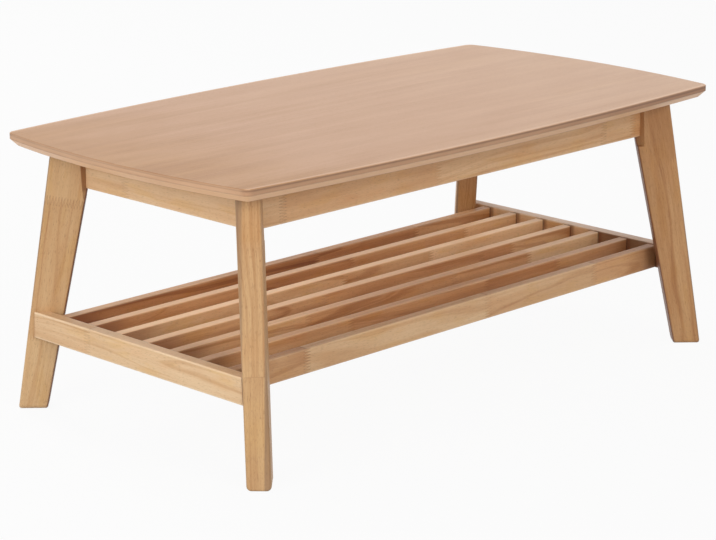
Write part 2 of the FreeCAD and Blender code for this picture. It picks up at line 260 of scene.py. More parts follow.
WOOD_STOPS = [
    (0.00, rgb(138, 88, 54)),
    (0.30, rgb(183, 136, 94)),
    (0.50, rgb(205, 163, 120)),
    (0.72, rgb(219, 184, 143)),
    (1.00, rgb(234, 207, 170)),
]
RED_HEART = (0.98, 0.79, 0.64, 1.0)
GOLDEN = (0.99, 0.94, 0.74, 1.0)
RIPENED = (0.74, 0.80, 0.70, 1.0)
PORE_STAIN = (118, 76, 48)
GLUE_STAIN = (116, 70, 40)

# How often each pattern repeats in a metre, along the grain and across it
WAVER = (3.0, 12.0)
RINGS = (0.8, 290.0)
STREAKS = (3.2, 75.0)
FIBRES = (24.0, 560.0)
PORES = (120.0, 1700.0)
CLOUDS = (6.0, 22.0)
RED_FLUSH = (9.0, 34.0)
GOLD_FLECKS = (13.0, 60.0)

# What part of its noise a pattern shows in, from the first trace to full strength
LATE_WOOD_RANGE = (0.53, 0.66)
PORE_RANGE = (0.61, 0.70)
FLUSH_RANGE = (0.52, 0.72)
GOLD_RANGE = (0.50, 0.68)
WORN_STREAK_RANGE = (0.35, 0.60)

# How much each pattern changes the tone or the colour
TONE_LIFT = 0.03
LATE_WOOD_SHARE = 0.17
STREAK_SHARE = 0.46
CLOUD_SHARE = 0.30
FIBRE_SHARE = 0.22
FLUSH_SHARE = 0.30
GOLD_SHARE = 0.60
PORE_SHARE = 0.42

# Where the pith lies, to the side of a block's middle and behind it, how far the rings drift, and how
# far the patterns move on from one block to the next
PITH_SIDES = (0.012, -0.017, 0.021, -0.006)
PITH_DEPTH = 0.042
RING_DRIFT = 0.020
BLOCK_SHIFT = 3.7

# Painted shade darkens the rounded arrises of the legs, and a painted highlight with sanding wear
# leaves those of the other bars pale. Wear and painted light are full within the first distance from
# an arris and end at the second. A share of them is even, and the rest follows the streaks.
PLAIN_ARRIS = (0.30, (240, 212, 176))
LEG_ARRIS = (0.72, (128, 101, 79))
RAIL_ARRIS = (0.60, (250, 228, 194))
WEAR_AND_LIGHT_FULL = 0.0006
WEAR_AND_LIGHT_REACH = 0.0040
EVEN_WEAR_AND_LIGHT = 0.6

# Lacquer: its roughness, and what fibres and pores add to it and wear takes off
LACQUER_IOR = 1.45
WOOD_ROUGHNESS = 0.45
FIBRE_ROUGHNESS = 0.12
PORE_ROUGHNESS = 0.15
WEAR_POLISH = 0.08

# Depth of the grain, and the parts that the patterns have in it
GRAIN_DEPTH = 0.00008
FIBRE_RELIEF = 0.25
PORE_RELIEF = 0.8
GLUE_LINE_RELIEF = 0.5
LATE_WOOD_RELIEF = 0.25


class Rubberwood(Finish):
    """Lacquered rubberwood, glued up along the bar from blocks that are paler or redder.

    A joint is its place along the bar and how dark its glue line shows. An arris is how much wear
    and painted light show on it, and their colour."""

    def __init__(self, name, bar, blocks, joints, seed, figure=1.0, ripe=0.0, arris=PLAIN_ARRIS):
        super().__init__(bpy.data.materials.new(name))
        self.bar = bar
        point = self.point()
        self.x, self.y, self.z = self.axes(point)
        grain = self.along(point, bar.along) - bar.middle.dot(bar.along)
        wide = self.along(point, bar.wide) - bar.middle.dot(bar.wide)
        thick = self.along(point, bar.thick) - bar.middle.dot(bar.thick)
        self.grain, self.wide, self.thick = grain, wide, thick

        # Fingers run to and fro across the width, so a joint is a zigzag on the wide faces
        zigzag = wide.maths("PINGPONG", FINGER_PITCH / 2) / (FINGER_PITCH / 2) - 0.5
        jointed = grain + zigzag * FINGER_LENGTH
        past = [jointed > place for place, dark in joints]

        def stepped(values):
            """One value for each block."""
            total = values[0]
            for passed, before, after in zip(past, values, values[1:]):
                total = total + passed * (after - before)
            return total

        count = len(blocks)
        tone = stepped([block[0] for block in blocks])
        red = stepped([block[1] for block in blocks])
        self.shift = stepped([seed + BLOCK_SHIFT * k for k in range(count)])
        pith = stepped([PITH_SIDES[(k + int(seed)) % len(PITH_SIDES)] for k in range(count)])
        line = 0.0
        for place, dark in joints:
            if dark:
                line = line + self.near(jointed, place, GLUE_LINE_CORE, GLUE_LINE) * dark

        # Growth rings round the pith, so that wide faces show arches and narrow ones lines
        aside = wide - pith
        below = thick + PITH_DEPTH
        radius = (aside * aside + below * below).maths("SQRT")
        radius = radius + self.pattern(WAVER) * RING_DRIFT + grain * RING_DRIFT
        rings = self.noise(self.vector(radius * RINGS[1], self.shift, grain * RINGS[0]))
        late = self.ramp(rings, *LATE_WOOD_RANGE)
        streaks = self.pattern(STREAKS, 3.0, 0.55)
        fibres = self.pattern(FIBRES, 2.0, 0.6)
        pores = self.ramp(self.pattern(PORES, 1.0), *PORE_RANGE)
        cloud = self.pattern(CLOUDS)
        along, across = RED_FLUSH
        flush = self.noise(self.vector(grain * along, self.shift, wide * across))
        flush = self.ramp(flush, *FLUSH_RANGE)
        along, across = GOLD_FLECKS
        gold = self.noise(self.vector(self.shift, grain * along, wide * across))
        gold = self.ramp(gold, *GOLD_RANGE)

        side_gap = self.half_width() - abs(wide)
        face_gap = bar.half_thickness - abs(thick)
        # Wear, which also polishes the lacquer, and painted light on the arrises
        arris_wear_and_light = 1 - self.ramp(side_gap, WEAR_AND_LIGHT_FULL, WEAR_AND_LIGHT_REACH)
        arris_wear_and_light = arris_wear_and_light * (1 - self.ramp(face_gap, WEAR_AND_LIGHT_FULL, WEAR_AND_LIGHT_REACH))
        in_streaks = self.ramp(streaks, *WORN_STREAK_RANGE)
        arris_wear_and_light = arris_wear_and_light * (EVEN_WEAR_AND_LIGHT + (1 - EVEN_WEAR_AND_LIGHT) * in_streaks)

        level = tone + TONE_LIFT - late * (LATE_WOOD_SHARE * figure)
        level = level + (streaks - 0.5) * (STREAK_SHARE * figure)
        level = level + (cloud - 0.5) * (CLOUD_SHARE * figure) + (fibres - 0.5) * FIBRE_SHARE
        colour = self.colours(level, WOOD_STOPS)
        colour = self.blend(red + flush * (FLUSH_SHARE * figure), colour, RED_HEART, "MULTIPLY")
        colour = self.blend(gold * (GOLD_SHARE * figure), colour, GOLDEN, "MULTIPLY")
        self.colour = self.blend(ripe, colour, RIPENED, "MULTIPLY")
        self.tint(pores * PORE_SHARE, PORE_STAIN)
        if isinstance(line, Number):
            self.tint(line, GLUE_STAIN)
        # Painted shade on the legs' rounded arrises, and a painted highlight with sanding wear on the
        # others
        wear_and_light_share, wear_and_light_colour = arris
        self.tint(arris_wear_and_light * wear_and_light_share, wear_and_light_colour)
        roughness = WOOD_ROUGHNESS + (fibres - 0.5) * FIBRE_ROUGHNESS
        self.roughness = roughness + pores * PORE_ROUGHNESS - arris_wear_and_light * WEAR_POLISH
        height = fibres * FIBRE_RELIEF - pores * PORE_RELIEF
        self.height = height - line * GLUE_LINE_RELIEF - late * LATE_WOOD_RELIEF

    def pattern(self, scale, detail=2.0, roughness=0.5):
        """Noise drawn out along the grain, which starts anew in each block."""
        along, across = scale
        place = self.vector(self.grain * along + self.shift, self.wide * across, self.thick * across)
        return self.noise(place, detail, roughness)

    def half_width(self):
        return self.grain * self.bar.taper + self.bar.half_width

    def tint(self, share, colour):
        self.colour = self.blend(share, self.colour, rgb(*colour))

    def done(self):
        normal = self.bump(self.height, GRAIN_DEPTH)
        return self.surface(self.colour, self.roughness, normal, IOR=LACQUER_IOR)


# Place of every bar


def straight_bar(node, along):
    """Bar that lies square to the frame, with its width upright."""
    low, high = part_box(node)
    along, wide = Vector(along), Vector(UP)
    thick = along.cross(wide)
    size = high - low
    half_thickness = abs(size.dot(thick)) / 2
    return Bar((low + high) / 2, along, wide, thick, size.z / 2, half_thickness)


def leg_directions(corner):
    """Outwards along a leg's width, and sideways through its thickness."""
    side_x, side_y = CORNERS[corner]
    outwards = Vector((math.cos(LEG_TURN) * side_x, math.sin(LEG_TURN) * side_y, 0))
    sideways = Vector((-math.sin(LEG_TURN) * side_x, math.cos(LEG_TURN) * side_y, 0))
    return outwards, sideways


def leg_bar(corner):
    side_x, side_y = CORNERS[corner]
    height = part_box(corner + "_leg")[1].z
    outwards, sideways = leg_directions(corner)
    head_edge = Vector((LEG_TOP_EDGE.x * side_x, LEG_TOP_EDGE.y * side_y, height))
    lean = Vector((LEG_LEAN.x * side_x, LEG_LEAN.y * side_y, -height))
    head = head_edge - outwards * (LEG_TOP_WIDTH / 2)
    foot = head_edge + lean - outwards * (LEG_FOOT_WIDTH / 2)
    along = (head - foot).normalized()
    taper = (LEG_TOP_WIDTH - LEG_FOOT_WIDTH) / 2 / (head - foot).length
    wide = sideways.cross(along)
    if wide.dot(outwards) < 0:
        wide = -wide
    half_width = (LEG_TOP_WIDTH + LEG_FOOT_WIDTH) / 4
    return Bar((head + foot) / 2, along, wide, sideways, half_width, LEG_THICKNESS / 2, taper)


def block_bar(node, corner):
    """Bar of a corner block, which stands across its leg."""
    low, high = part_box(node)
    along, up = leg_directions(corner)[1], Vector(UP)
    size = high - low
    return Bar((low + high) / 2, along, up, along.cross(up), size.z / 2, size.x / 2)


# Colours painted on the wood: painted shade in a seat and along an inner edge, a deep brown for
# painted shade in the corners and for darker parts, and painted light on a sanded top and a pale one
SEAT_SHADE = (124, 68, 44)
INNER_EDGE_SHADE = (118, 66, 40)
DEEP_BROWN = (92, 58, 38)
SANDED_AND_LIT_TOP = (250, 211, 168)
LIT_PALE_TOP = (242, 216, 194)

# Blocks of each bar from its foot, left or front end on, each with how pale and how red it is, and
# where they join with how dark the glue line shows. A leg also has how dark the painted shade of its
# inner edge and of its apron seats is. A shelf bar has the share and colour of the painted light on
# its top edge, which on the front slat is painted shade, and sometimes how the share changes along
# the bar. A slat has how dark the painted shade on it is near its left and right ends.
LEG_BLOCKS = {
    "front_left": (
        ((0.41, 0.00), (0.43, 0.00)),
        ((-0.057, 0.16),),
        0.0,
        0.45,
    ),
    "front_right": (
        ((0.38, 0.34), (0.33, 0.41)),
        ((0.105, 0.0),),
        0.75,
        0.10,
    ),
    "back_left": (
        ((0.62, 0.22), (0.49, 0.18), (0.62, 0.30)),
        ((-0.095, 0.35), (0.130, 0.80)),
        0.90,
        0.52,
    ),
    "back_right": (
        ((0.42, 0.40), (0.38, 0.50), (0.44, 0.35)),
        ((-0.070, 0.45), (0.095, 0.45)),
        0.0,
        0.45,
    ),
}
APRON_BLOCKS = {
    "front_apron": (
        ((0.58, 0.25), (0.54, 0.50), (0.66, 0.30), (0.62, 0.30), (0.52, 0.75)),
        ((-0.396, 0.90), (-0.060, 0.45), (0.347, 0.80), (0.424, 0.50)),
    ),
    "back_apron": (
        ((0.44, 0.30), (0.47, 0.20), (0.40, 0.45), (0.46, 0.30)),
        ((-0.250, 0.60), (0.050, 0.60), (0.260, 0.60)),
    ),
    "left_end_apron": (((0.70, 0.12), (0.66, 0.16)), ((0.085, 0.50),)),
    "right_end_apron": (((0.44, 0.35), (0.48, 0.20)), ((-0.040, 0.60),)),
}
RAIL_BLOCKS = {
    "left_shelf_rail": (((0.69, 0.02), (0.65, 0.06)), ((0.110, 0.55),), (0.18, SANDED_AND_LIT_TOP)),
    "right_shelf_rail": (((0.46, 0.45), (0.80, 0.75)), ((-0.050, 0.55),), (0.80, LIT_PALE_TOP)),
}
SLAT_BLOCKS = {
    "slat_1": (
        ((0.43, 0.38), (0.60, 0.04), (0.53, 0.12), (0.50, 0.50)),
        ((-0.349, 0.90), (0.060, 0.50), (0.330, 0.55)),
        (0.14, SEAT_SHADE, -0.10),
        (0.06, 0.28),
    ),
    "slat_2": (
        ((0.38, 0.55), (0.32, 0.80), (0.27, 0.90), (0.34, 0.60)),
        ((-0.190, 0.55), (0.130, 0.55), (0.310, 0.55)),
        (0.30, SANDED_AND_LIT_TOP),
        (0.20, 0.34),
    ),
    "slat_3": (
        ((0.47, 0.48), (0.39, 0.85), (0.43, 0.75), (0.64, 0.25)),
        ((-0.220, 0.55), (0.120, 0.55), (0.310, 0.55)),
        (0.42, SANDED_AND_LIT_TOP),
        (0.40, 0.0),
    ),
    "slat_4": (
        ((0.39, 0.50), (0.34, 0.78), (0.29, 0.85), (0.50, 0.50)),
        ((-0.120, 0.55), (0.260, 0.55), (0.340, 0.55)),
        (0.74, SANDED_AND_LIT_TOP),
        (0.44, 0.0),
    ),
    "slat_5": (
        ((0.61, 0.40), (0.53, 0.62), (0.86, 0.74)),
        ((-0.010, 0.55), (0.200, 0.55)),
        (0.92, SANDED_AND_LIT_TOP),
        (0.42, 0.0),
    ),
    "slat_6": (
        ((0.39, 0.78), (0.23, 0.82), (0.39, 0.68), (0.80, 0.80)),
        ((-0.170, 0.55), (0.070, 0.55), (0.360, 0.55)),
        (0.68, SANDED_AND_LIT_TOP),
        (0.60, 0.0),
    ),
    "slat_7": (
        ((0.24, 0.90), (0.29, 0.85), (0.48, 0.62)),
        ((0.050, 0.55), (0.300, 0.55)),
        (0.30, SANDED_AND_LIT_TOP, -0.55),
        (0.52, 0.0),
    ),
}
CORNER_BLOCK = ((0.62, 0.0),)
DOWEL_BLOCK = ((0.75, 0.0),)
DOWELS = {"slat_dowels": ALONG_X, "shelf_rail_dowels": ALONG_Y}

# Seed of the first bar of a kind, and the step to the next
LEG_SEEDS = (0.0, 5.3)
APRON_SEEDS = (20.0, 4.1)
RAIL_SEEDS = (40.0, 3.3)
SLAT_SEEDS = (60.0, 2.9)
CORNER_BLOCK_SEEDS = (80.0, 2.3)
DOWEL_SEED = 95.0

# How strong the figure is, and how far the wood of the legs has ripened
LEG_FIGURE = 0.75
LEG_RIPE = 0.40
APRON_FIGURE = 0.9
FRONT_SLAT_FIGURE = 0.8
SLAT_FIGURE = 1.2

# Painted shade in the recess of the seats, within so much of their planes, and from so far above
# their floor
SEAT_PLANE = 0.0003
SEAT_PLANE_END = 0.0008
SEAT_SHADE_START = 0.008

# Painted shade in the corners, which under the top also stands for a glue line, and how soft it ends
SHADE_SOFT = 0.0006
UNDER_TOP_SHADE_AND_GLUE = 0.75
UNDER_TOP_REACH = 0.0026
RAIL_GAP_SHADE = 0.92
RAIL_GAP_SHADE_OUTWARDS = 0.0012
RAIL_GAP_SHADE_MARGIN = 0.0010
SLAT_END_SHADE = 0.75

# Inner faces of the rails: dark towards the front, and painted shadow of each slat in a patch in
# front of it
INNER_FACE_FULL = 0.0002
INNER_FACE_END = 0.0016
FRONT_DARK = 0.70
FRONT_DARK_FROM = 0.030
FRONT_DARK_FULL = 0.100
PATCH_DARK = 0.55
PATCH_FULL = 0.011
PATCH_END = 0.019

# Painted shade on the inner edges of the legs, painted light on the top edges of the shelf bars,
# darker end grain of the rails with painted shade of their gap at the legs, and painted shade at the
# ends of the slats: how far each reaches from its arris or face, and up to where it is full
INNER_EDGE_REACH = 0.0034
INNER_EDGE_FULL = 0.0012
TOP_EDGE_REACH = 0.0016
TOP_EDGE_FULL = 0.0005
END_GRAIN_AND_GAP_SHADE = 0.20
END_GRAIN_AND_GAP_REACH = 0.0008
SLAT_END_SHADE_REACH = 0.0046
SLAT_END_SHADE_FULL = 0.0016

# Painted shade on the slats near the rails, by its distance from the rail
SIDE_SHADE_REACH = 0.095
SIDE_SHADE_FULL = 0.026


def seeded(seeds, number):
    first, step = seeds
    return first + number * step


def under_top(wood):
    """Painted shade and a glue line, dark where a bar meets the underside of the top."""
    line = wood.ramp(wood.z, APRON_TOP - UNDER_TOP_REACH, APRON_TOP - SHADE_SOFT)
    wood.tint(line * UNDER_TOP_SHADE_AND_GLUE, DEEP_BROWN)


def finish_legs():
    for number, (corner, (blocks, joints, inner_shade, seat_dark)) in enumerate(LEG_BLOCKS.items()):
        node = corner + "_leg"
        seed = seeded(LEG_SEEDS, number)
        bar = leg_bar(corner)
        wood = Rubberwood(node + "_wood", bar, blocks, joints, seed, LEG_FIGURE, LEG_RIPE, LEG_ARRIS)
        # Painted shade in the recess where each apron sits in its leg
        on_end_seat = wood.near(abs(wood.x), SEAT_X, SEAT_PLANE, SEAT_PLANE_END)
        on_long_seat = wood.near(abs(wood.y), SEAT_Y, SEAT_PLANE, SEAT_PLANE_END)
        on_seat = on_end_seat.maths("MAXIMUM", on_long_seat)
        above_floor = wood.ramp(wood.z, SEAT_FLOOR + SEAT_SHADE_START, APRON_BOTTOM)
        wood.tint(on_seat * above_floor * seat_dark, SEAT_SHADE)
        # Painted shade along the inner edge and its rounded arris
        if inner_shade:
            inwards = -1 * wood.wide - wood.half_width()
            shaded_inner_edge = wood.ramp(inwards, -INNER_EDGE_REACH, -INNER_EDGE_FULL)
            wood.tint(shaded_inner_edge * inner_shade, INNER_EDGE_SHADE)
        # The end of the shelf rail stands against the broad face, and painted shade darkens the gap
        # around it
        rail_from, rail_to = RAIL_INNER - RAIL_GAP_SHADE_MARGIN, RAIL_OUTER + RAIL_GAP_SHADE_OUTWARDS
        at_rail = wood.between(abs(wood.x), rail_from, rail_to, SHADE_SOFT)
        low, high = RAIL_BOTTOM - RAIL_GAP_SHADE_MARGIN, RAIL_TOP + RAIL_GAP_SHADE_MARGIN
        at_rail = at_rail * wood.between(wood.z, low, high, SHADE_SOFT)
        face = LEG_THICKNESS / 2 - RAIL_GAP_SHADE_MARGIN
        on_face = wood.ramp(-1 * wood.thick, face - RAIL_GAP_SHADE_MARGIN, face)
        wood.tint(at_rail * on_face * RAIL_GAP_SHADE, DEEP_BROWN)
        under_top(wood)
        paint(node, wood.done())


def finish_aprons():
    for number, (node, (blocks, joints)) in enumerate(APRON_BLOCKS.items()):
        bar = straight_bar(node, ALONG_Y if "end" in node else ALONG_X)
        seed = seeded(APRON_SEEDS, number)
        wood = Rubberwood(node + "_wood", bar, blocks, joints, seed, APRON_FIGURE)
        under_top(wood)
        paint(node, wood.done())


def tone_top(wood, share, colour, change=0.0):
    """Painted light on the top edge of a shelf bar, with a paler sanded finish where the colour is
    pale, and painted shade where it is dark. The share may change along the bar.
    """
    arris = wood.bar.half_width
    top = wood.ramp(wood.wide, arris - TOP_EDGE_REACH, arris - TOP_EDGE_FULL)
    wood.tint(top * (share + wood.grain * change), colour)


def finish_rails():
    for number, (node, (blocks, joints, top)) in enumerate(RAIL_BLOCKS.items()):
        bar = straight_bar(node, ALONG_Y)
        seed = seeded(RAIL_SEEDS, number)
        wood = Rubberwood(node + "_wood", bar, blocks, joints, seed, arris=RAIL_ARRIS)
        inner_face = RAIL_INNER + INNER_FACE_FULL, RAIL_INNER + INNER_FACE_END
        inside = 1 - wood.ramp(abs(wood.x), *inner_face)
        to_front = wood.ramp(-1 * wood.y, FRONT_DARK_FROM, FRONT_DARK_FULL)
        wood.tint(inside * to_front * FRONT_DARK, DEEP_BROWN)
        # Painted shadow that each slat casts on the rail's inner face just in front of it
        ahead = (FIRST_SLAT - wood.y).maths("FLOORED_MODULO", SLAT_PITCH)
        patch = inside * (1 - wood.ramp(ahead, PATCH_FULL, PATCH_END))
        wood.tint(patch * PATCH_DARK, INNER_EDGE_SHADE)
        tone_top(wood, *top)
        # Darker end grain, and painted shade of the gap where the end meets the leg
        end = wood.ramp(abs(wood.grain), RAIL_END - END_GRAIN_AND_GAP_REACH, RAIL_END)
        wood.tint(end * END_GRAIN_AND_GAP_SHADE, SEAT_SHADE)
        paint(node, wood.done())


def finish_slats():
    for number, (node, (blocks, joints, top, end_shade)) in enumerate(SLAT_BLOCKS.items()):
        figure = SLAT_FIGURE if number else FRONT_SLAT_FIGURE
        bar = straight_bar(node, ALONG_X)
        seed = seeded(SLAT_SEEDS, number)
        wood = Rubberwood(node + "_wood", bar, blocks, joints, seed, figure)
        # Painted shade darkens the slats near the rails, and more in the corners at their ends
        for side, share in zip((-1, 1), end_shade):
            if share:
                start, full = RAIL_INNER - SIDE_SHADE_REACH, RAIL_INNER - SIDE_SHADE_FULL
                wood.tint(wood.ramp(wood.grain * side, start, full) * share, SEAT_SHADE)
        tone_top(wood, *top)
        start, full = RAIL_INNER - SLAT_END_SHADE_REACH, RAIL_INNER - SLAT_END_SHADE_FULL
        wood.tint(wood.ramp(abs(wood.grain), start, full) * SLAT_END_SHADE, DEEP_BROWN)
        paint(node, wood.done())


def finish_hidden_wood():
    for number, corner in enumerate(CORNERS):
        node = corner + "_corner_block"
        bar = block_bar(node, corner)
        seed = seeded(CORNER_BLOCK_SEEDS, number)
        paint(node, Rubberwood(node + "_wood", bar, CORNER_BLOCK, (), seed).done())
    for node, along in DOWELS.items():
        bar = straight_bar(node, along)
        paint(node, Rubberwood(node + "_wood", bar, DOWEL_BLOCK, (), DOWEL_SEED).done())


# Top


VENEER_STOPS = [
    (0.00, rgb(172, 124, 90)),
    (0.35, rgb(198, 153, 118)),
    (0.55, rgb(207, 164, 131)),
    (1.00, rgb(224, 186, 154)),
]
MELLOWED = (0.91, 0.83, 0.60, 1.0)
PORE_BROWN = rgb(150, 110, 84)
HIGHLIGHT_VENEER = rgb(236, 196, 162)
DARK_VENEER = rgb(140, 100, 72)

# How often each pattern of the veneer repeats in a metre, along the grain and across it, and its
# layer of the noise
VENEER_WAVER = (1.3, 5.0, 0.0)
VENEER_BANDS = (0.7, 34.0, 2.0)
VENEER_LINES = (2.2, 240.0, 5.0)
VENEER_FIBRES = (26.0, 700.0, 7.0)
VENEER_PORES = (120.0, 1900.0, 9.0)
VENEER_CLOUDS = (5.0, 16.0, 11.0)
YELLOW_PATCHES = (2.6, 9.0, 4.0)
VENEER_PORE_RANGE = (0.60, 0.70)
PATCH_RANGE = (0.45, 0.70)
STRIPE_DRIFT = 0.016

# How much each pattern changes the tone or the colour of the veneer
BAND_SHARE = 0.40
LINE_SHARE = 0.40
VENEER_CLOUD_SHARE = 0.44
VENEER_FIBRE_SHARE = 0.20
VENEER_PORE_SHARE = 0.28
PALER_TO_RIGHT = 0.34
MELLOW_SHARE = 0.90
PATCH_SHARE = 0.14

# The mellowed left end fades out between these two places, give or take the drift of the clouds
MELLOW_ENDS = (-0.58, -0.24)
MELLOW_DRIFT = 0.3

# Painted highlight along the long edges, by the distance from them, and where it gains towards the
# right
RIM_HIGHLIGHT_STARTS = (0.0008, 0.0022)
RIM_HIGHLIGHT_ENDS = (0.0040, 0.0100)
RIM_HIGHLIGHT_SHARE = 0.46
RIM_HIGHLIGHT_GAIN = 0.26
RIM_HIGHLIGHT_GAINS = (0.10, 0.40)

# Dark arris of the ends, by the distance from them
END_ARRIS = (0.0006, 0.0022)
END_ARRIS_SHARE = 0.40

VENEER_ROUGHNESS = 0.40
VENEER_FIBRE_ROUGHNESS = 0.10
VENEER_PORE_ROUGHNESS = 0.12
VENEER_GRAIN_DEPTH = 0.00006
VENEER_FIBRE_RELIEF = 0.25
VENEER_PORE_RELIEF = 0.7

# Edge of the core board: a band under the veneer, and a paler bevel below it
BAND_STOPS = [(0.0, rgb(158, 118, 88)), (0.5, rgb(192, 152, 119)), (1.0, rgb(214, 176, 144))]
BEVEL_STOPS = [(0.0, rgb(206, 156, 112)), (0.5, rgb(234, 189, 147)), (1.0, rgb(246, 209, 170))]
HEAVY_STAIN_AND_SHADE = rgb(130, 80, 50)
EDGE_LINE = rgb(100, 70, 46)
CREASE_LINE = rgb(112, 76, 50)

# How often each pattern of the edge repeats in a metre, along it and up it, and how much it counts
BRUSHING = (9.0, 420.0)
EDGE_CLOUDS = (14.0, 60.0)
GRIT = (1500.0, 1500.0)
BRUSHING_SHARE = 0.45
EDGE_CLOUD_SHARE = 0.40
GRIT_SHARE = 0.12

# Heavy stain of the long edges, with painted shade that gains towards the right, and the painted
# shade that the bevel takes from it below the band: how much, the places from left to right between
# which it gains, and the heights where it fades in
HEAVY_SHARE = 0.26
RIGHT_SHADE_GAIN = 0.32
RIGHT_SHADE_PLACES = (-0.10, 0.50)
SHADE_SHARE = 0.30
SHADE_GAINS = (0.05, 0.40)
SHADE_HEIGHTS = (0.4360, 0.4400)

# The band starts between these two heights
BAND_STARTS = (BEVEL_TOP - 0.0020, BEVEL_TOP + 0.0006)

# Dark line under the veneer: its lower and upper fade, from the top of the board down, and how it
# sinks from left to right
LINE_FOOT = (-0.0040, -0.0022)
LINE_HEAD = (-0.0014, 0.0)
LINE_DARK = 0.24
LINE_DARK_ON_LONG_EDGE = 0.28
LINE_SINKS = 0.0011
LINE_SINKS_OVER = (0.0, 0.40)

# Dark line in the crease between the bevel and the band
CREASE_HEIGHT = BEVEL_TOP + 0.0006
CREASE_FULL = 0.0003
CREASE_REACH = 0.0012
CREASE_DARK = 0.14

EDGE_ROUGHNESS = 0.42
BRUSHING_ROUGHNESS = 0.10
EDGE_GRAIN_DEPTH = 0.00005
BRUSHING_RELIEF = 0.5
GRIT_RELIEF = 0.3


def veneer(name):
    """Straight-grained veneer laid along the table, under satin lacquer."""
    sheet = new_finish(name)
    point = sheet.point()
    grain = sheet.along(point, ALONG_X)
    across = sheet.along(point, ALONG_Y)

    def pattern(scale, side, detail=2.0, roughness=0.5):
        """Noise drawn out along the grain."""
        along, beside, layer = scale
        place = sheet.vector(grain * along, side * beside, layer)
        return sheet.noise(place, detail, roughness)

    stripe = across + pattern(VENEER_WAVER, across) * STRIPE_DRIFT
    bands = pattern(VENEER_BANDS, stripe, 3.0, 0.55)
    lines = pattern(VENEER_LINES, stripe, 2.0, 0.6)
    fibres = pattern(VENEER_FIBRES, across, 2.0, 0.6)
    pores = sheet.ramp(pattern(VENEER_PORES, across, 1.0), *VENEER_PORE_RANGE)
    cloud = pattern(VENEER_CLOUDS, across, 3.0)
    level = 0.5 + (bands - 0.5) * BAND_SHARE + (lines - 0.5) * LINE_SHARE
    level = level + (cloud - 0.5) * VENEER_CLOUD_SHARE + (fibres - 0.5) * VENEER_FIBRE_SHARE
    level = level + grain * PALER_TO_RIGHT
    colour = sheet.colours(level, VENEER_STOPS)
    # The left end has mellowed to a yellower tan, and the flitch is yellower in places
    mellow = 1 - sheet.ramp(grain + (cloud - 0.5) * MELLOW_DRIFT, *MELLOW_ENDS)
    patch = sheet.ramp(pattern(YELLOW_PATCHES, across), *PATCH_RANGE)
    yellow = mellow * MELLOW_SHARE + patch * PATCH_SHARE
    colour = sheet.blend(yellow, colour, MELLOWED, "MULTIPLY")
    colour = sheet.blend(pores * VENEER_PORE_SHARE, colour, PORE_BROWN)
    # Painted highlight along the bowed long edges, and most towards the right
    to_side = TOP_HALF_WIDTH - grain * grain * SIDE_CURVE - abs(across)
    rim_highlight = sheet.ramp(to_side, *RIM_HIGHLIGHT_STARTS) * (1 - sheet.ramp(to_side, *RIM_HIGHLIGHT_ENDS))
    rim_highlight = rim_highlight * (RIM_HIGHLIGHT_SHARE + RIM_HIGHLIGHT_GAIN * sheet.ramp(grain, *RIM_HIGHLIGHT_GAINS))
    colour = sheet.blend(rim_highlight, colour, HIGHLIGHT_VENEER)
    # The arris of the bowed ends is dark
    to_end = TOP_HALF_LENGTH - across * across * END_CURVE - abs(grain)
    dark = (1 - sheet.ramp(to_end, *END_ARRIS)) * END_ARRIS_SHARE
    colour = sheet.blend(dark, colour, DARK_VENEER)
    roughness = VENEER_ROUGHNESS + (fibres - 0.5) * VENEER_FIBRE_ROUGHNESS
    roughness = roughness + pores * VENEER_PORE_ROUGHNESS
    height = fibres * VENEER_FIBRE_RELIEF - pores * VENEER_PORE_RELIEF
    normal = sheet.bump(height, VENEER_GRAIN_DEPTH)
    return sheet.surface(colour, roughness, normal, IOR=LACQUER_IOR)


